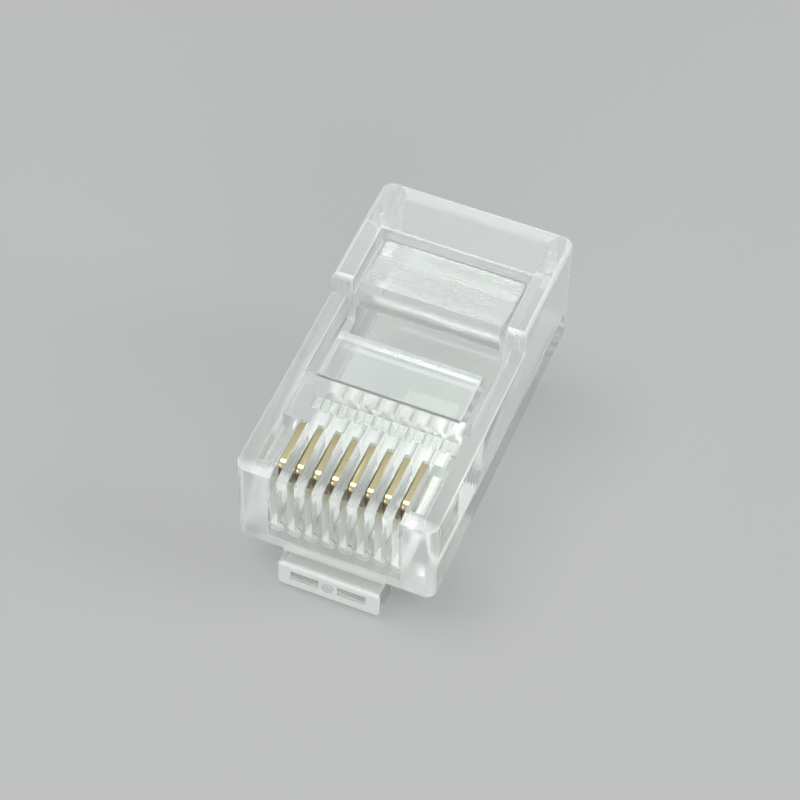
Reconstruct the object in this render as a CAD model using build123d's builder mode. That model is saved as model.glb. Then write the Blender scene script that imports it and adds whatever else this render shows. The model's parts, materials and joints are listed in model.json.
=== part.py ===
from build123d import *
import os
from math import hypot, radians, tan

os.makedirs("parts", exist_ok=True)

# An eight-way modular plug as it leaves the moulder: clear housing, contacts standing proud of the wire
# channels, both strain reliefs and the latch still in their moulded positions.
# X runs across the plug, Y from the nose face to the cable end, Z from the latch side to the contact side.

# Housing outside
nose_height = 6.3
step_height = 1.5
lead_in_length = 0.65
lead_in_drop = 0.22
nose_corner_radius = 0.6
rear_corner_radius = 0.75
rear_top_radius = 0.35
sole_radius = 0.25
rim_radius = 0.12

# Wire channels and the cable cavity behind them
ways = 8
pitch = 1.016
channel_web = 0.066
nose_wall = 0.75
floor_wall = 1.12
ramp_length = 0.6
ramp_rise = 0.45
side_wall = 1.46
cavity_corner_radius = 0.5
roof_wall = 1.1
mouth_chamfer = 0.4

# Windows in the contact side, over the two strain reliefs
bridge_length = 3.3
wire_window_wall = 0.94
ledge_drop = 2.03
step_gap = 2.3
jacket_window_length = 4.3
jacket_window_wall = 1.29
rear_roof_length = 3.6
window_rim_radius = 0.1

# Contacts
contact_thickness = 0.35
contact_sink = 0.1
contact_front_y = 1.05
contact_length = 3.15
contact_nose_radius = 0.45
contact_heel_radius = 0.15
contact_edge = 0.03
contact_face_height = 1.3
contact_waist_height = 2.9
contact_inset = 0.5
tines = 3
tine_reach = 0.12
tine_tip_width = 0.1
tine_gap = 0.22
slot_clearance = 0.03
slot_end_clearance = 0.06
slot_sill = 0.08
pocket_gap = 0.25
pocket_width = 0.85
pocket_depth = 1.0
pocket_front_y = 0.87
pocket_wall = 0.979

# Wire anchor, hinged at its front edge
wire_anchor_clearance = 0.13
wire_anchor_length = 3.5
wire_anchor_thickness = 1.3
wire_web_thickness = 0.4
wire_relief_length = 0.6
wire_anchor_edge = 0.2
wire_anchor_edge_radius = 0.1

# Jacket anchor, hinged at its rear edge
jacket_anchor_clearance = 0.16
jacket_face_gap = 0.15
jacket_web_thickness = 0.4
jacket_web_drop = 0.8
jacket_anchor_rise = 0.72
jacket_anchor_sag = 0.22
jacket_anchor_depth = 2.5
jacket_heel_length = 1.0
jacket_toe = 0.2
jacket_anchor_edge = 0.1

# Latch, and the root under the nose that it springs from
latch_width = 6.08
root_reach = 0.87
root_height = 2.05
root_end_y = 0.9
root_side_radius = 0.2
root_edge_radius = 0.3
root_fillet = 0.4
latch_bend_length = 0.3
latch_slope = 9.0
latch_thickness = 1.2
latch_shoulder_y = 8.4
latch_edge_radius = 0.15
lever_width = 3.25
lever_thickness = 1.0
lever_end_y = 15.0
lever_end_radius = 0.38
gate_diameter = 0.7
gate_height = 0.1
gate_drop = 0.85
sink_length = 1.7
sink_height = 0.75
sink_depth = 0.2
sink_gap = 0.55

# Across the plug: the contact row and the walls beside it set the width
slot_width = contact_thickness + 2 * slot_clearance
row_width = (ways - 1) * pitch + slot_width
width = row_width + 2 * (pocket_gap + pocket_width + pocket_wall)
cavity_width = width - 2 * side_wall
wire_window_width = width - 2 * wire_window_wall
jacket_window_width = width - 2 * jacket_window_wall
wire_anchor_width = cavity_width - 2 * wire_anchor_clearance
jacket_anchor_width = cavity_width - 2 * jacket_anchor_clearance
contact_places = [place.position.X for place in GridLocations(pitch, 0, ways, 1)]

# Along the plug, from the nose back
contact_rear_y = contact_front_y + contact_length
slot_rear_y = contact_rear_y + slot_end_clearance
wire_window_y = contact_rear_y + bridge_length
channel_end_y = wire_window_y - ramp_length
wire_anchor_end_y = wire_window_y + wire_anchor_length
step_y = wire_anchor_end_y + step_gap
jacket_face_y = step_y + jacket_face_gap
jacket_window_end_y = step_y + jacket_window_length
length = jacket_window_end_y + rear_roof_length
latch_bend_y = root_end_y + latch_bend_length

# Heights: up from the sole, and down from the two top faces
floor_z = floor_wall
channel_diameter = pitch - channel_web
channel_z = floor_z + channel_diameter / 2
channel_top_z = floor_z + channel_diameter
slot_sill_z = channel_top_z + slot_sill
tine_tip_z = channel_top_z - tine_reach
contact_top_z = nose_height - contact_sink
ramp_top_z = channel_top_z + ramp_rise
ledge_z = nose_height - ledge_drop
comb_length = hypot(ramp_length, ramp_rise) + channel_diameter
rear_height = nose_height + step_height
roof_z = rear_height - roof_wall
jacket_web_top_z = rear_height - jacket_web_drop
jacket_top_z = jacket_web_top_z + jacket_anchor_rise
jacket_anchor_bottom_z = rear_height - jacket_anchor_depth

# Housing: one side profile across the whole width, edges rounded, then cored and slotted
with BuildPart() as housing:
    with BuildSketch(Plane.YZ):
        with BuildLine():
            Polyline(
                (0, 0),
                (length, 0),
                (length, rear_height),
                (step_y, rear_height),
                (step_y, nose_height),
                (0, nose_height),
                close=True,
            )
        make_face()
    extrude(amount=width / 2, both=True)
    fillet(housing.edges().filter_by(Axis.Z).group_by(Axis.Y)[-1], rear_corner_radius)
    fillet(housing.edges().filter_by(Axis.Z).group_by(Axis.Y)[0], nose_corner_radius)
    fillet(housing.faces().sort_by(Axis.Z)[-1].edges(), rear_top_radius)
    fillet(housing.faces().sort_by(Axis.Z)[0].edges(), sole_radius)
    nose_top = housing.faces().filter_by(Axis.Z).group_by(Axis.Z)[-2]
    fillet(nose_top.edges().sort_by(Axis.Y)[:-1], rim_radius)

    # Lead-in across the top of the nose
    with BuildSketch(Plane.YZ):
        with BuildLine():
            Polyline(
                (0, nose_height - lead_in_drop),
                (lead_in_length, nose_height),
                (0, nose_height),
                close=True,
            )
        make_face()
    extrude(amount=width / 2, both=True, mode=Mode.SUBTRACT)

    # Cable cavity, with a ramp in its front wall that leads the wires down to their channels
    with BuildSketch(Plane.YZ):
        with BuildLine():
            Polyline(
                (channel_end_y, floor_z),
                (length, floor_z),
                (length, roof_z),
                (wire_window_y, roof_z),
                (wire_window_y, ramp_top_z),
                (channel_end_y, channel_top_z),
                close=True,
            )
        make_face()
    extrude(amount=cavity_width / 2, both=True, mode=Mode.SUBTRACT)

    # Rounded floor corners and a flared mouth for the cable
    cavity_floor = housing.faces().filter_by(Axis.Z).sort_by(lambda face: abs(face.center().Z - floor_z))[0]
    fillet(cavity_floor.edges().filter_by(Axis.Y), cavity_corner_radius)
    chamfer(housing.faces().sort_by(Axis.Y)[-1].inner_wires()[0].edges(), mouth_chamfer)

    # Window over the wire anchor, with a ledge along each side
    with BuildSketch(Plane.XY.offset(ledge_z)):
        with Locations((0, (wire_window_y + step_y) / 2)):
            Rectangle(wire_window_width, step_y - wire_window_y)
    extrude(amount=nose_height, mode=Mode.SUBTRACT)
    wire_rim = housing.faces().filter_by(Axis.Z).sort_by_distance((0, 0, nose_height))[0].edges()
    fillet(wire_rim.filter_by(Axis.Y).sort_by(lambda edge: abs(edge.center().X))[:2], window_rim_radius)

    # Window over the jacket anchor, open through the step
    with BuildSketch(Plane.XY.offset(roof_z)):
        with Locations((0, (step_y + jacket_window_end_y) / 2)):
            Rectangle(jacket_window_width, jacket_window_end_y - step_y)
    extrude(amount=rear_height, mode=Mode.SUBTRACT)
    rear_top = housing.faces().sort_by(Axis.Z)[-1]
    jacket_rim = rear_top.edges().filter_by(Axis.Y).sort_by(lambda edge: abs(edge.center().X))[:2]
    jacket_rim += rear_top.edges().sort_by_distance((0, jacket_window_end_y, rear_height))[:1]
    fillet(jacket_rim, window_rim_radius)

    # Wire channels, blind behind the nose wall
    with BuildSketch(Plane.XZ.offset(-nose_wall)):
        with Locations((0, channel_z)):
            with GridLocations(pitch, 0, ways, 1):
                Circle(channel_diameter / 2)
    extrude(amount=-(channel_end_y - nose_wall), mode=Mode.SUBTRACT)

    # Comb: the channels run on up the ramp as grooves
    comb_plane = Plane(
        origin=(0, channel_end_y, channel_z), x_dir=(1, 0, 0), z_dir=(0, ramp_length, ramp_rise)
    )
    with BuildSketch(comb_plane):
        with GridLocations(pitch, 0, ways, 1):
            Circle(channel_diameter / 2)
    extrude(amount=comb_length, mode=Mode.SUBTRACT)

    # Contact slots, open to the nose and down into the channels
    for x in contact_places:
        with BuildSketch(Plane.YZ.offset(x)):
            with BuildLine():
                Polyline(
                    (-nose_wall, slot_sill_z),
                    (nose_wall, slot_sill_z),
                    (nose_wall, channel_z),
                    (slot_rear_y, channel_z),
                    (slot_rear_y, rear_height),
                    (-nose_wall, rear_height),
                    close=True,
                )
            make_face()
        extrude(amount=slot_width / 2, both=True, mode=Mode.SUBTRACT)

    # Shallow pockets in the lands at both ends of the contact row
    with BuildSketch(Plane.XY.offset(nose_height)):
        with Locations((0, (pocket_front_y + contact_rear_y) / 2)):
            with GridLocations(row_width + 2 * pocket_gap + pocket_width, 0, 2, 1):
                Rectangle(pocket_width, contact_rear_y - pocket_front_y)
    extrude(amount=-pocket_depth, mode=Mode.SUBTRACT)

    # Latch root: a block under the nose that stands out in front of it
    with BuildSketch(Plane.YZ):
        with BuildLine():
            Polyline(
                (-root_reach, 0),
                (0, 0),
                (0, sole_radius),
                (root_end_y, sole_radius),
                (root_end_y, -root_height),
                (-root_reach, -root_height),
                close=True,
            )
        make_face()
    extrude(amount=latch_width / 2, both=True)
    fillet(housing.edges().filter_by(Axis.Z).group_by(Axis.Y)[0], root_side_radius)
    fillet(housing.faces().filter_by(Axis.Y).sort_by(Axis.Y)[0].edges().filter_by(Axis.X), root_edge_radius)
    root_corner = housing.edges().filter_by(Axis.X).sort_by_distance((0, root_end_y, 0))[0]
    fillet(root_corner, root_fillet)

    # Sinks each side of the gate mark on the root's front
    with BuildSketch(Plane.XZ.offset(root_reach)):
        with Locations((0, -gate_drop)):
            with GridLocations(2 * sink_gap + sink_length, 0, 2, 1):
                Rectangle(sink_length, sink_height)
    extrude(amount=-sink_depth, mode=Mode.SUBTRACT)
    with BuildSketch(Plane.XZ.offset(root_reach)):
        with Locations((0, -gate_drop)):
            Circle(gate_diameter / 2)
    extrude(amount=gate_height)
housing.part.label = "housing"
export_step(housing.part, "parts/housing.step")

# Latch: a plate that ends in the two locking shoulders, and a narrower lever
slope = tan(radians(latch_slope))


def under_z(y):
    return -root_height - (y - latch_bend_y) * slope


with BuildPart() as latch:
    with BuildSketch(Plane.YZ):
        with BuildLine():
            Polyline(
                (latch_bend_y, under_z(latch_bend_y) + lever_thickness),
                (lever_end_y, under_z(lever_end_y) + lever_thickness),
                (lever_end_y, under_z(lever_end_y)),
                (latch_bend_y, under_z(latch_bend_y)),
                close=True,
            )
        make_face()
    extrude(amount=lever_width / 2, both=True)
    fillet(latch.edges().filter_by(Axis.X).group_by(Axis.Y)[-1], lever_end_radius)
    fillet(latch.faces().filter_by(Axis.X).edges(), latch_edge_radius)
    with BuildSketch(Plane.YZ):
        with BuildLine():
            Polyline(
                (root_end_y, latch_thickness - root_height),
                (latch_shoulder_y, under_z(latch_shoulder_y) + latch_thickness),
                (latch_shoulder_y, under_z(latch_shoulder_y)),
                (latch_bend_y, -root_height),
                (root_end_y, -root_height),
                close=True,
            )
        make_face()
    extrude(amount=latch_width / 2, both=True)
    for side in (0, -1):
        plate_side = latch.faces().filter_by(Axis.X).sort_by(Axis.X)[side]
        fillet(plate_side.edges().sort_by(Axis.Y)[1:], latch_edge_radius)
latch.part.label = "latch"
export_step(latch.part, "parts/latch.step")

# Wire anchor: a bar across the front window, held by a thin web at its front edge
with BuildPart() as wire_anchor:
    with BuildSketch(Plane.YZ):
        with BuildLine():
            Polyline(
                (wire_window_y, nose_height),
                (wire_anchor_end_y, nose_height),
                (wire_anchor_end_y, nose_height - wire_anchor_thickness),
                (wire_window_y + wire_relief_length, nose_height - wire_anchor_thickness),
                (wire_window_y, nose_height - wire_web_thickness),
                close=True,
            )
        make_face()
    extrude(amount=wire_anchor_width / 2, both=True)
    chamfer(wire_anchor.edges().filter_by(Axis.X).group_by(Axis.Y)[-1], wire_anchor_edge)
    fillet(wire_anchor.faces().sort_by(Axis.Z)[-1].edges().filter_by(Axis.Y), wire_anchor_edge_radius)
wire_anchor.part.label = "wire_anchor"
export_step(wire_anchor.part, "parts/wire_anchor.step")

# Jacket anchor: a wedge in the cable end with a hollowed top, held by a thin web at its rear edge
with BuildPart() as jacket_anchor:
    with BuildSketch(Plane.YZ):
        with BuildLine():
            hollow = ThreePointArc(
                (jacket_window_end_y, jacket_web_top_z),
                (
                    (jacket_window_end_y + jacket_face_y) / 2,
                    (jacket_web_top_z + jacket_top_z) / 2 - jacket_anchor_sag,
                ),
                (jacket_face_y, jacket_top_z),
            )
            Polyline(
                hollow @ 1,
                (jacket_face_y, jacket_anchor_bottom_z + jacket_toe),
                (jacket_face_y + jacket_toe, jacket_anchor_bottom_z),
                (jacket_window_end_y - jacket_heel_length, jacket_anchor_bottom_z),
                (jacket_window_end_y, jacket_web_top_z - jacket_web_thickness),
                hollow @ 0,
            )
        make_face()
    extrude(amount=jacket_anchor_width / 2, both=True)
    chamfer(jacket_anchor.edges().filter_by(GeomType.CIRCLE), jacket_anchor_edge)
jacket_anchor.part.label = "jacket_anchor"
export_step(jacket_anchor.part, "parts/jacket_anchor.step")

# Contacts: stamped blades with a rounded nose, a narrower waist and pointed tines
face_z = contact_top_z - contact_face_height
waist_z = contact_top_z - contact_waist_height
waist_front_y = contact_front_y + contact_inset
waist_rear_y = contact_rear_y - contact_inset
tine_pitch = (waist_rear_y - waist_front_y) / tines
for way, x in enumerate(contact_places, start=1):
    with BuildPart() as contact:
        with BuildSketch(Plane.YZ.offset(x)):
            with BuildLine():
                Polyline(
                    (contact_front_y, contact_top_z),
                    (contact_rear_y, contact_top_z),
                    (contact_rear_y, face_z),
                    (waist_rear_y, face_z - contact_inset),
                    (waist_rear_y, waist_z),
                    (waist_front_y, waist_z),
                    (waist_front_y, face_z - contact_inset),
                    (contact_front_y, face_z),
                    close=True,
                )
            make_face()
        extrude(amount=contact_thickness / 2, both=True)
        top_edges = contact.edges().filter_by(Axis.X).group_by(Axis.Z)[-1].sort_by(Axis.Y)
        fillet(top_edges[0], contact_nose_radius)
        fillet(contact.edges().filter_by(Axis.X).group_by(Axis.Z)[-1].sort_by(Axis.Y)[-1], contact_heel_radius)
        rim = contact.faces().filter_by(Axis.X).edges().filter_by(lambda edge: edge.center().Z > face_z)
        chamfer(rim, contact_edge)
        for number in range(tines):
            middle_y = waist_front_y + (number + 0.5) * tine_pitch
            root = (tine_pitch - tine_gap) / 2
            with BuildSketch(Plane.YZ.offset(x)):
                with BuildLine():
                    Polyline(
                        (middle_y - root, waist_z),
                        (middle_y + root, waist_z),
                        (middle_y + tine_tip_width / 2, tine_tip_z),
                        (middle_y - tine_tip_width / 2, tine_tip_z),
                        close=True,
                    )
                make_face()
            extrude(amount=contact_thickness / 2, both=True)
    name = f"contact_{way}"
    contact.part.label = name
    export_step(contact.part, f"parts/{name}.step")
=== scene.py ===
import json
import math

import bpy
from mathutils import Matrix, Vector

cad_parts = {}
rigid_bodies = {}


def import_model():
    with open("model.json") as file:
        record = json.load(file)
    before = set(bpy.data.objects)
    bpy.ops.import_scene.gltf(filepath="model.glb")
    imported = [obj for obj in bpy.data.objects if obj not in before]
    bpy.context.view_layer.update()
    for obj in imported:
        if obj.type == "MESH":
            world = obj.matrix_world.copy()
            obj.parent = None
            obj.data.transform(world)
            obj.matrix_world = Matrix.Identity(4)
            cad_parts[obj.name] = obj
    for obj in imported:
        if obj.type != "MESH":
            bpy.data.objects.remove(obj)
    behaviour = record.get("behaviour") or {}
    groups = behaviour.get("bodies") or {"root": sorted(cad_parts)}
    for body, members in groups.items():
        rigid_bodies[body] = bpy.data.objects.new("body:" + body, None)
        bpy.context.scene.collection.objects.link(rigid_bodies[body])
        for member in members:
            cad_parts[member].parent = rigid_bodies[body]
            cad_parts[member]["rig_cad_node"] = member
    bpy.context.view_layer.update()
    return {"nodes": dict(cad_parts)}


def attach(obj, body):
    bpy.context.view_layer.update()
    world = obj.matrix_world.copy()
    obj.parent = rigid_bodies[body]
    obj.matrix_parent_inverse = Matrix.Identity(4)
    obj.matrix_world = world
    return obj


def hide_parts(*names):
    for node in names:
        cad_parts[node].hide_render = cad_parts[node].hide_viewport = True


mm = 0.001

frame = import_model()
nodes = frame["nodes"]
contactNames = sorted(name for name in nodes if name.startswith("contact_"))
print("frame loaded:", len(nodes), "nodes")


# small helpers for node trees

def addNode(tree, kind, place, **settings):
    node = tree.nodes.new(kind)
    node.location = place
    for name, value in settings.items():
        setattr(node, name, value)
    return node


def setInputs(node, values):
    for name, value in values.items():
        node.inputs[name].default_value = value


def newGroup(name, inputs, outputs):
    group = bpy.data.node_groups.new(name, "ShaderNodeTree")
    for socketName, value in inputs.items():
        socket = group.interface.new_socket(socketName, in_out="INPUT", socket_type="NodeSocketFloat")
        socket.default_value = value
    group.interface.new_socket("Vector", in_out="INPUT", socket_type="NodeSocketVector")
    for socketName in outputs:
        group.interface.new_socket(socketName, in_out="OUTPUT", socket_type="NodeSocketFloat")
    start = addNode(group, "NodeGroupInput", (-900, 0))
    end = addNode(group, "NodeGroupOutput", (700, 0))
    return group, start, end


# surface effects that several finishes share

handlingMarks = {
    "stretch": (1.0, 0.06, 1.0),           # long along Y
    "slant": (0.4, 0.2, 0.5),              # radians off the axes
    "scratchDetail": {"Detail": 3.0, "Roughness": 0.6},
    "scratchSoftness": 0.08,
    "mottleDetail": {"Scale": 420.0, "Detail": 2.0},
    "mottleToRoughness": {"From Min": 0.45, "From Max": 0.75, "To Max": 0.35},
}


def makeHandlingGroup():
    group, start, end = newGroup(
        "handlingMarks", {"Roughness": 0.04, "Rougher": 0.1, "Fineness": 900.0, "Cut": 0.68},
        ["Roughness", "Height", "Mottle"],
    )
    links = group.links
    run = addNode(group, "ShaderNodeMapping", (-700, 200))
    run.inputs["Scale"].default_value = handlingMarks["stretch"]
    run.inputs["Rotation"].default_value = handlingMarks["slant"]
    scratch = addNode(group, "ShaderNodeTexNoise", (-500, 200))
    setInputs(scratch, handlingMarks["scratchDetail"])
    line = addNode(group, "ShaderNodeMapRange", (-300, 200))
    full = addNode(group, "ShaderNodeMath", (-500, 420), operation="ADD")
    full.inputs[1].default_value = handlingMarks["scratchSoftness"]
    mottle = addNode(group, "ShaderNodeTexNoise", (-500, -100))
    setInputs(mottle, handlingMarks["mottleDetail"])
    both = addNode(group, "ShaderNodeMath", (-100, 0), operation="MAXIMUM")
    soft = addNode(group, "ShaderNodeMapRange", (-300, -100))
    setInputs(soft, handlingMarks["mottleToRoughness"])
    spread = addNode(group, "ShaderNodeMath", (100, -100), operation="MULTIPLY")
    total = addNode(group, "ShaderNodeMath", (300, -100), operation="ADD")
    depth = addNode(group, "ShaderNodeMath", (100, 200), operation="MULTIPLY")
    depth.inputs[1].default_value = -1.0   # scratches go inwards
    links.new(start.outputs["Vector"], run.inputs["Vector"])
    links.new(run.outputs["Vector"], scratch.inputs["Vector"])
    links.new(start.outputs["Fineness"], scratch.inputs["Scale"])
    links.new(start.outputs["Cut"], full.inputs[0])
    links.new(start.outputs["Cut"], line.inputs["From Min"])
    links.new(full.outputs["Value"], line.inputs["From Max"])
    links.new(scratch.outputs["Fac"], line.inputs["Value"])
    links.new(start.outputs["Vector"], mottle.inputs["Vector"])
    links.new(mottle.outputs["Fac"], soft.inputs["Value"])
    links.new(line.outputs["Result"], both.inputs[0])
    links.new(soft.outputs["Result"], both.inputs[1])
    links.new(both.outputs["Value"], spread.inputs[0])
    links.new(start.outputs["Rougher"], spread.inputs[1])
    links.new(spread.outputs["Value"], total.inputs[0])
    links.new(start.outputs["Roughness"], total.inputs[1])
    links.new(total.outputs["Value"], end.inputs["Roughness"])
    links.new(line.outputs["Result"], depth.inputs[0])
    links.new(depth.outputs["Value"], end.inputs["Height"])
    links.new(mottle.outputs["Fac"], end.inputs["Mottle"])
    return group


handlingGroup = makeHandlingGroup()


# finishes

clearPlastic = {
    "colour": (0.94, 0.96, 0.945, 1.0),
    "roughness": 0.05,
    "rougher": 0.10,
    "fineness": 1100.0,        # scratches per metre across their run
    "cut": 0.68,               # the lower, the more of them
    "ior": 1.585,
    "transmission": 0.90,
    "bump": 0.25,
    "bumpDepth": 0.004 * mm,
    "lampsThrough": 0.75,      # share of a lamp's light that passes straight on
    "turn": 0.0,
}

# each of the other plastics is one above it with these changes

# rounded edges: rougher, with a whiter diffuse share that is painted highlight on them
softEdgeAndPaintedHighlightPlastic = {
    **clearPlastic,
    "colour": (0.92, 0.95, 0.93, 1.0),
    "roughness": 0.24,
    "rougher": 0.12,
    "transmission": 0.84,
}

# a whiter finish for outline edges: painted highlight, so that they read as bright lines
paintedHighlightEdgePlastic = {
    **softEdgeAndPaintedHighlightPlastic,
    "colour": (0.95, 0.97, 0.955, 1.0),
    "transmission": 0.70,
}

# a whitish frost: in the channels and on the root's frame it is the plastic's own frost; on the slots'
# walls and sills its whiteness is painted light, standing for light piped down the clear dividers
frostAndPaintedLightPlastic = {
    **clearPlastic,
    "colour": (0.93, 0.95, 0.93, 1.0),
    "roughness": 0.38,
    "rougher": 0.12,
    "transmission": 0.42,
    "bump": 0.5,
    "bumpDepth": 0.006 * mm,
}

# a whiter haze: on the land fronts and the nose's foot it is painted light, standing for lamp light on
# those faces; on the gate mark it is the mark's own haze
hazeAndPaintedLightPlastic = {
    **clearPlastic,
    "colour": (0.95, 0.965, 0.95, 1.0),
    "roughness": 0.16,
    "transmission": 0.66,
    "bump": 0.15,
}

streakedPlastic = {
    **clearPlastic,
    "colour": (0.88, 0.90, 0.885, 1.0),
    "roughness": 0.12,
    "rougher": 0.24,
    "fineness": 5000.0,
    "cut": 0.55,
    "transmission": 0.76,
    "bumpDepth": 0.006 * mm,
    "turn": 90.0,              # the streaks run across the plug
}

gold = {
    "colour": (0.86, 0.78, 0.45, 1.0),
    "worn": (0.66, 0.61, 0.36, 1.0),
    "wornFrom": (0.42, 0.72),
    "bareAndPaintedReflection": (0.24, 0.16, 0.11, 1.0),      # sheared front edge below the rounded nose, its brown deepened as a painted reflection of the dark surroundings in front
    "bareAndPaintedReflectionFromY": (1.16, 1.09),
    "bareAndPaintedReflectionFromZ": (5.94, 5.82),
    "roughness": 0.20,
    "rougher": 0.16,
    "fineness": 3000.0,
    "cut": 0.60,
}


def makePlastic(name, finish):
    material = bpy.data.materials.new(name)
    material.use_nodes = True
    tree = material.node_tree
    tree.nodes.clear()
    coordinates = addNode(tree, "ShaderNodeTexCoord", (-1050, 0))
    turn = addNode(tree, "ShaderNodeMapping", (-850, 200))
    turn.inputs["Rotation"].default_value = (0, 0, math.radians(finish["turn"]))
    marks = addNode(tree, "ShaderNodeGroup", (-650, 0), node_tree=handlingGroup)
    setInputs(marks, {
        "Roughness": finish["roughness"],
        "Rougher": finish["rougher"],
        "Fineness": finish["fineness"],
        "Cut": finish["cut"],
    })
    bump = addNode(tree, "ShaderNodeBump", (-350, -250))
    setInputs(bump, {"Strength": finish["bump"], "Distance": finish["bumpDepth"]})
    plastic = addNode(tree, "ShaderNodeBsdfPrincipled", (-50, 0))
    setInputs(plastic, {
        "Base Color": finish["colour"],
        "IOR": finish["ior"],
        "Transmission Weight": finish["transmission"],
    })
    letThrough = addNode(tree, "ShaderNodeBsdfTransparent", (-50, -450))
    letThrough.inputs["Color"].default_value = finish["colour"]
    path = addNode(tree, "ShaderNodeLightPath", (-350, 350))
    share = addNode(tree, "ShaderNodeMath", (-50, 250), operation="MULTIPLY")
    share.inputs[1].default_value = finish["lampsThrough"]
    mix = addNode(tree, "ShaderNodeMixShader", (300, 0))
    out = addNode(tree, "ShaderNodeOutputMaterial", (520, 0))
    links = tree.links
    links.new(coordinates.outputs["Object"], turn.inputs["Vector"])
    links.new(turn.outputs["Vector"], marks.inputs["Vector"])
    links.new(marks.outputs["Roughness"], plastic.inputs["Roughness"])
    links.new(marks.outputs["Height"], bump.inputs["Height"])
    links.new(bump.outputs["Normal"], plastic.inputs["Normal"])
    links.new(path.outputs["Is Shadow Ray"], share.inputs[0])
    links.new(share.outputs["Value"], mix.inputs["Fac"])
    links.new(plastic.outputs["BSDF"], mix.inputs[1])
    links.new(letThrough.outputs["BSDF"], mix.inputs[2])
    links.new(mix.outputs["Shader"], out.inputs["Surface"])
    return material


def makeGold():
    material = bpy.data.materials.new("goldFlash")
    material.use_nodes = True
    tree = material.node_tree
    links = tree.links
    metal = tree.nodes["Principled BSDF"]
    metal.inputs["Metallic"].default_value = 1.0
    coordinates = addNode(tree, "ShaderNodeTexCoord", (-1100, 0))
    marks = addNode(tree, "ShaderNodeGroup", (-650, -200), node_tree=handlingGroup)
    setInputs(marks, {
        "Roughness": gold["roughness"],
        "Rougher": gold["rougher"],
        "Fineness": gold["fineness"],
        "Cut": gold["cut"],
    })
    parts = addNode(tree, "ShaderNodeSeparateXYZ", (-900, 250))
    front = addNode(tree, "ShaderNodeMapRange", (-700, 400), interpolation_type="SMOOTHSTEP")
    setInputs(front, {"From Min": gold["bareAndPaintedReflectionFromY"][0] * mm, "From Max": gold["bareAndPaintedReflectionFromY"][1] * mm})
    below = addNode(tree, "ShaderNodeMapRange", (-700, 150), interpolation_type="SMOOTHSTEP")
    setInputs(below, {"From Min": gold["bareAndPaintedReflectionFromZ"][0] * mm, "From Max": gold["bareAndPaintedReflectionFromZ"][1] * mm})
    # mask of the sheared front edge, whose brown is partly a painted dark reflection
    bareAndPaintedReflection = addNode(tree, "ShaderNodeMath", (-500, 300), operation="MULTIPLY")
    wear = addNode(tree, "ShaderNodeMapRange", (-480, -50), interpolation_type="SMOOTHSTEP")
    setInputs(wear, {"From Min": gold["wornFrom"][0], "From Max": gold["wornFrom"][1]})
    plate = addNode(tree, "ShaderNodeMix", (-480, 120), data_type="RGBA")
    plate.inputs[6].default_value = gold["colour"]
    plate.inputs[7].default_value = gold["worn"]
    colour = addNode(tree, "ShaderNodeMix", (-300, 250), data_type="RGBA")
    colour.inputs[7].default_value = gold["bareAndPaintedReflection"]
    links.new(coordinates.outputs["Object"], parts.inputs["Vector"])
    links.new(parts.outputs["Y"], front.inputs["Value"])
    links.new(parts.outputs["Z"], below.inputs["Value"])
    links.new(front.outputs["Result"], bareAndPaintedReflection.inputs[0])
    links.new(below.outputs["Result"], bareAndPaintedReflection.inputs[1])
    links.new(marks.outputs["Mottle"], wear.inputs["Value"])
    links.new(wear.outputs["Result"], plate.inputs[0])
    links.new(plate.outputs[2], colour.inputs[6])
    links.new(bareAndPaintedReflection.outputs["Value"], colour.inputs[0])
    links.new(colour.outputs[2], metal.inputs["Base Color"])
    links.new(coordinates.outputs["Object"], marks.inputs["Vector"])
    links.new(marks.outputs["Roughness"], metal.inputs["Roughness"])
    return material


clearMaterial = makePlastic("clearPolycarbonate", clearPlastic)
softEdgeAndPaintedHighlightMaterial = makePlastic("softEdgeAndPaintedHighlightPolycarbonate", softEdgeAndPaintedHighlightPlastic)
paintedHighlightEdgeMaterial = makePlastic("paintedHighlightEdgePolycarbonate", paintedHighlightEdgePlastic)
frostAndPaintedLightMaterial = makePlastic("frostAndPaintedLightPolycarbonate", frostAndPaintedLightPlastic)
streakedMaterial = makePlastic("streakedPolycarbonate", streakedPlastic)
hazeAndPaintedLightMaterial = makePlastic("hazeAndPaintedLightPolycarbonate", hazeAndPaintedLightPlastic)
goldMaterial = makeGold()
print("finishes made")


# pieces

meshing = {
    "mergeDistance": 0.0005 * mm,
    "smoothAngle": math.radians(32),
}


def deselectAll():
    if bpy.context.mode != "OBJECT":
        bpy.ops.object.mode_set(mode="OBJECT")
    bpy.ops.object.select_all(action="DESELECT")


def dressedCopy(nodeName, pieceName):
    deselectAll()
    node = nodes[nodeName]
    node.select_set(True)
    bpy.context.view_layer.objects.active = node
    bpy.ops.object.duplicate()
    piece = bpy.context.active_object
    piece.name = pieceName
    del piece["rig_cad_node"]
    bpy.ops.object.parent_clear(type="CLEAR_KEEP_TRANSFORM")
    bpy.ops.object.mode_set(mode="EDIT")
    bpy.ops.mesh.select_all(action="SELECT")
    bpy.ops.mesh.customdata_custom_splitnormals_clear()
    bpy.ops.mesh.remove_doubles(threshold=meshing["mergeDistance"])
    bpy.ops.object.mode_set(mode="OBJECT")
    bpy.ops.object.shade_smooth_by_angle(angle=meshing["smoothAngle"])
    bpy.ops.object.modifier_add(type="WEIGHTED_NORMAL")
    piece.modifiers[-1].keep_sharp = True
    bpy.ops.object.modifier_apply(modifier=piece.modifiers[-1].name)
    return piece


def paintFaces(piece, material, belongs):
    slotIndex = piece.data.materials.find(material.name)
    for face in piece.data.polygons:
        if belongs(face.center / mm, face.normal):
            face.material_index = slotIndex


# a face is told by its normal, and by its centre in millimetres

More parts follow.
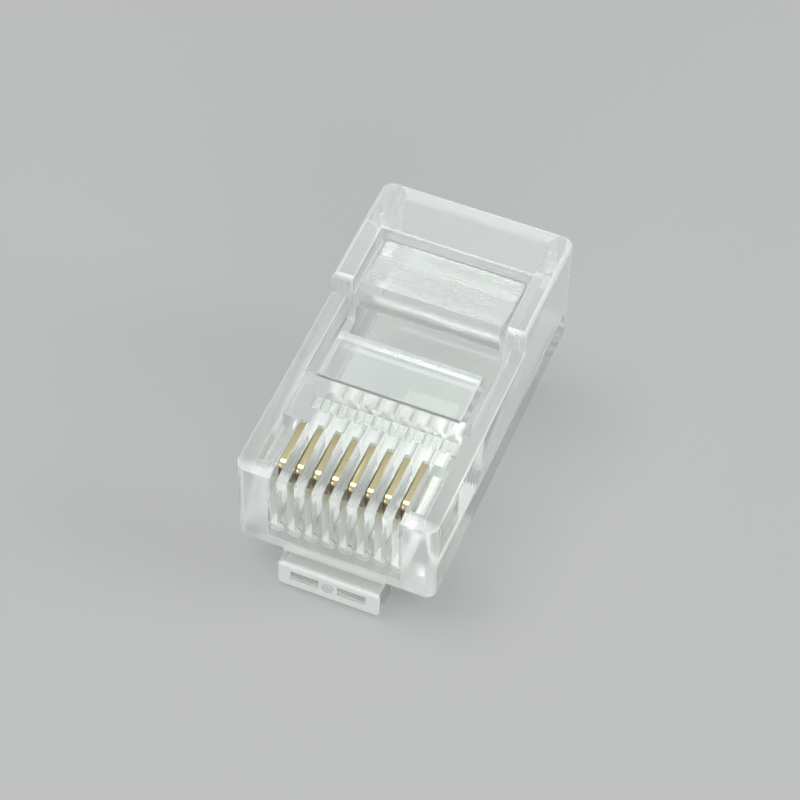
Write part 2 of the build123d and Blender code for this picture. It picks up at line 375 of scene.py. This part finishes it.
facing = {
    "flat": 0.995,                  # below this a face belongs to a rounded or chamfered edge
    "square": 0.9,                  # walls, sills and the gate mark, which have no slope
    "front": 0.3,                   # the nose's front, with its rounded corners
    "frame": 0.2,                   # the same for the root's front
    "leadIn": 0.5,                  # a front face that looks up more is the slots' lead-in
}

housing = {
    "channelHalfRow": 4.1,          # the eight channels, side to side
    "channelHeights": (1.05, 2.08),
    "channelFrost": (1.0, 6.9),     # from behind the blind ends to the foot of the ramp
    "slotPaintedLight": (2.08, 4.6),       # heights of the frost on the slots' walls and sills, whose whiteness is painted light piped down the dividers
    "slotPaintedLightEnd": 1.6,            # beside the blades the slots are clear
    "landFrom": 3.9,                # the lands each side of the contact row
    "landDepth": 0.6,               # how far back their fronts reach
    "noseFoot": 0.95,               # the nose face below the channels' blind ends
    "paintedHighlightEdgesFrom": 0.9,         # behind the nose's own rounded edges; edges from here back get the whiter painted highlight finish
    "insideHalfWidth": 5.0,         # edges within these keep the clear finish
    "insideLength": (0.5, 20.5),
    "insideHeights": (0.3, 6.0),
}

root = {
    "top": -0.05,
    "sinkFloor": -0.70,
    "gateFront": -0.92,             # the gate mark stands out beyond this
}


def cutPiece(piece, place, normal):
    deselectAll()
    piece.select_set(True)
    bpy.context.view_layer.objects.active = piece
    bpy.ops.object.mode_set(mode="EDIT")
    bpy.ops.mesh.select_all(action="SELECT")
    bpy.ops.mesh.bisect(plane_co=place, plane_no=normal)
    bpy.ops.object.mode_set(mode="OBJECT")


def within(value, limits):
    return limits[0] < value < limits[1]


def inFrostAndPaintedLight(centre, normal):
    if abs(centre.x) > housing["channelHalfRow"]:
        return False
    inChannel = within(centre.z, housing["channelHeights"]) and within(centre.y, housing["channelFrost"])
    wallOrSill = abs(normal.x) > facing["square"] or normal.z > facing["square"]
    # slot walls and sills, whose whitening is painted light
    inSlot = within(centre.z, housing["slotPaintedLight"]) and within(centre.y, (0, housing["slotPaintedLightEnd"]))
    return inChannel or (wallOrSill and inSlot)


def onEdge(centre, normal):
    return max(abs(normal.x), abs(normal.y), abs(normal.z)) < facing["flat"]


def onHousingEdge(centre, normal):
    inside = (
        abs(centre.x) < housing["insideHalfWidth"]
        and within(centre.y, housing["insideLength"])
        and within(centre.z, housing["insideHeights"])
    )
    return onEdge(centre, normal) and not inside


# outline edges behind the nose, which get the painted highlight finish
def onPaintedHighlightEdge(centre, normal):
    return centre.y > housing["paintedHighlightEdgesFrom"] and onHousingEdge(centre, normal)


# land fronts and the nose's foot, whitened as painted light
def onLandFront(centre, normal):
    if normal.y >= -facing["front"] or normal.z >= facing["leadIn"]:
        return False
    if centre.y >= housing["landDepth"] or centre.z <= 0:
        return False
    return abs(centre.x) > housing["landFrom"] or centre.z < housing["noseFoot"]


def onGateMark(centre, normal):
    return normal.y < -facing["square"] and centre.z < 0 and centre.y < root["gateFront"]


def onRootFrame(centre, normal):
    betweenFaces = within(centre.y, (root["gateFront"], root["sinkFloor"]))
    return normal.y < -facing["frame"] and centre.z < root["top"] and betweenFaces


def giveFinishes(piece, *materials):
    piece.data.materials.clear()
    for material in materials:
        piece.data.materials.append(material)


def declare(piece, nodeName):
    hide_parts(nodeName)
    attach(piece, nodeName)


def dressHousing():
    piece = dressedCopy("housing", "plug_housing")
    for y in (*housing["channelFrost"], housing["slotPaintedLightEnd"]):
        cutPiece(piece, (0, y * mm, 0), (0, 1, 0))
    for z in (housing["noseFoot"], housing["slotPaintedLight"][1]):
        cutPiece(piece, (0, 0, z * mm), (0, 0, 1))
    for side in (-1, 1):
        cutPiece(piece, (side * housing["landFrom"] * mm, 0, 0), (1, 0, 0))
    giveFinishes(piece, clearMaterial, frostAndPaintedLightMaterial, softEdgeAndPaintedHighlightMaterial, hazeAndPaintedLightMaterial, paintedHighlightEdgeMaterial)
    # frost in the channels and on the root frame, painted light on the slot walls and sills
    paintFaces(piece, frostAndPaintedLightMaterial, inFrostAndPaintedLight)
    # rounded housing edges: rougher, and whitened as painted highlight
    paintFaces(piece, softEdgeAndPaintedHighlightMaterial, onHousingEdge)
    # painted highlight on the outline edges behind the nose
    paintFaces(piece, paintedHighlightEdgeMaterial, onPaintedHighlightEdge)
    # painted light on the land fronts and the nose's foot
    paintFaces(piece, hazeAndPaintedLightMaterial, onLandFront)
    paintFaces(piece, hazeAndPaintedLightMaterial, onGateMark)
    paintFaces(piece, frostAndPaintedLightMaterial, onRootFrame)
    declare(piece, "housing")


def dressMoving():
    for nodeName, pieceName in (("latch", "latch_lever"), ("wire_anchor", "wire_bar")):
        piece = dressedCopy(nodeName, pieceName)
        giveFinishes(piece, clearMaterial, paintedHighlightEdgeMaterial)
        # the edges get the painted highlight finish
        paintFaces(piece, paintedHighlightEdgeMaterial, onEdge)
        declare(piece, nodeName)


wedge = {
    "hollowUp": 0.6,                # the hollow's faces look up more than this
    "heelDown": -0.5,               # the heel's look down more than this
    "heelForward": -0.1,            # a face that looks forward more is the toe
}


def inHollow(centre, normal):
    return normal.z > wedge["hollowUp"]


def onHeel(centre, normal):
    return normal.z < wedge["heelDown"] and normal.y > wedge["heelForward"]


def dressWedge():
    piece = dressedCopy("jacket_anchor", "jacket_wedge")
    giveFinishes(piece, clearMaterial, paintedHighlightEdgeMaterial, streakedMaterial)
    # the edges get the painted highlight finish
    paintFaces(piece, paintedHighlightEdgeMaterial, onEdge)
    paintFaces(piece, streakedMaterial, inHollow)
    paintFaces(piece, clearMaterial, onHeel)
    declare(piece, "jacket_anchor")


def dressContacts():
    for name in contactNames:
        piece = dressedCopy(name, "gilt_" + name)
        giveFinishes(piece, goldMaterial)
        declare(piece, name)


dressHousing()
dressMoving()
dressWedge()
dressContacts()
print("pieces dressed")


# stage: floor, lamps, world and camera

floorStyle = {
    "side": 3.0,
    "gap": 0.005 * mm,
    "finish": {"Base Color": (0.42, 0.425, 0.42, 1.0), "Roughness": 0.6, "Specular IOR Level": 0.2},
    "steepest": math.radians(20),   # the lean is looked for up to this
    "halvings": 40,
}

lamps = [
    # name, place, side, watts
    ("overheadLamp", (-0.16, -0.02, 0.60), 0.40, 2.2),
    ("frontLamp", (0.10, -0.60, 0.20), 0.24, 0.9),
    ("sideLamp", (0.50, 0.16, 0.26), 0.26, 1.0),
    ("cornerLamp", (0.34, -0.46, 0.26), 0.26, 1.1),
]
lampsAim = Vector((0, 0.01, 0))     # the middle of the plug

room = {
    "strength": 0.58,
    # brightness from the horizon up
    "gradient": (
        (0.0, (0.52, 0.53, 0.54, 1.0)),
        (0.35, (0.70, 0.71, 0.72, 1.0)),
        (0.8, (0.95, 0.96, 0.98, 1.0)),
    ),
}

cameraView = {
    "place": (34.42 * mm, -81.28 * mm, 126.40 * mm),
    "turn": (38.342, -1.176, 22.290),    # degrees
    "lens": 126.48,
    "sensor": 36.0,
    "nearest": 0.005,
    "farthest": 10.0,
}


def lowest(points, tilt):
    return min(point.z * math.cos(tilt) + point.y * math.sin(tilt) for point in points)


def restTilt():
    # the plug lies on the root's lower edge and the tip of the lever
    front = [vertex.co for vertex in nodes["housing"].data.vertices]
    back = [vertex.co for vertex in nodes["latch"].data.vertices]
    low = 0.0
    high = floorStyle["steepest"]
    for _ in range(floorStyle["halvings"]):
        middle = (low + high) / 2
        if lowest(back, middle) < lowest(front, middle):
            low = middle
        else:
            high = middle
    return low, lowest(front, low)


def makeFloor():
    tilt, drop = restTilt()
    deselectAll()
    bpy.ops.mesh.primitive_plane_add(size=floorStyle["side"])
    floor = bpy.context.active_object
    floor.name = "floor"
    floor.rotation_euler = (-tilt, 0, 0)
    up = Vector((0, math.sin(tilt), math.cos(tilt)))
    floor.location = up * (drop - floorStyle["gap"])
    material = bpy.data.materials.new("paleFloor")
    material.use_nodes = True
    setInputs(material.node_tree.nodes["Principled BSDF"], floorStyle["finish"])
    floor.data.materials.append(material)
    return math.degrees(tilt)


def makeLamps():
    for name, place, side, watts in lamps:
        data = bpy.data.lights.new(name, "AREA")
        data.shape = "SQUARE"
        data.size = side
        data.energy = watts
        lamp = bpy.data.objects.new(name, data)
        bpy.context.scene.collection.objects.link(lamp)
        lamp.location = place
        lamp.rotation_euler = (Vector(place) - lampsAim).to_track_quat("Z", "Y").to_euler()


def makeWorld():
    world = bpy.data.worlds.new("studio")
    bpy.context.scene.world = world
    world.use_nodes = True
    tree = world.node_tree
    sky = tree.nodes["Background"]
    sky.inputs["Strength"].default_value = room["strength"]
    direction = addNode(tree, "ShaderNodeTexCoord", (-900, 300))
    parts = addNode(tree, "ShaderNodeSeparateXYZ", (-700, 300))
    ramp = addNode(tree, "ShaderNodeValToRGB", (-450, 300))
    points = ramp.color_ramp.elements
    points.new(0.5)                 # the ramp starts with two points
    for point, (place, colour) in zip(points, room["gradient"]):
        point.position = place
        point.color = colour
    tree.links.new(direction.outputs["Generated"], parts.inputs["Vector"])
    tree.links.new(parts.outputs["Z"], ramp.inputs["Fac"])
    tree.links.new(ramp.outputs["Color"], sky.inputs["Color"])


def makeCamera():
    data = bpy.data.cameras.new("camera")
    camera = bpy.data.objects.new("camera", data)
    bpy.context.scene.collection.objects.link(camera)
    data.lens = cameraView["lens"]
    data.sensor_width = cameraView["sensor"]
    data.clip_start = cameraView["nearest"]
    data.clip_end = cameraView["farthest"]
    camera.location = cameraView["place"]
    camera.rotation_euler = [math.radians(angle) for angle in cameraView["turn"]]
    bpy.context.scene.camera = camera


tiltDegrees = makeFloor()
makeLamps()
makeWorld()
makeCamera()
bpy.context.scene.view_settings.view_transform = "Standard"
print("stage made, floor tilted by", round(tiltDegrees, 2))
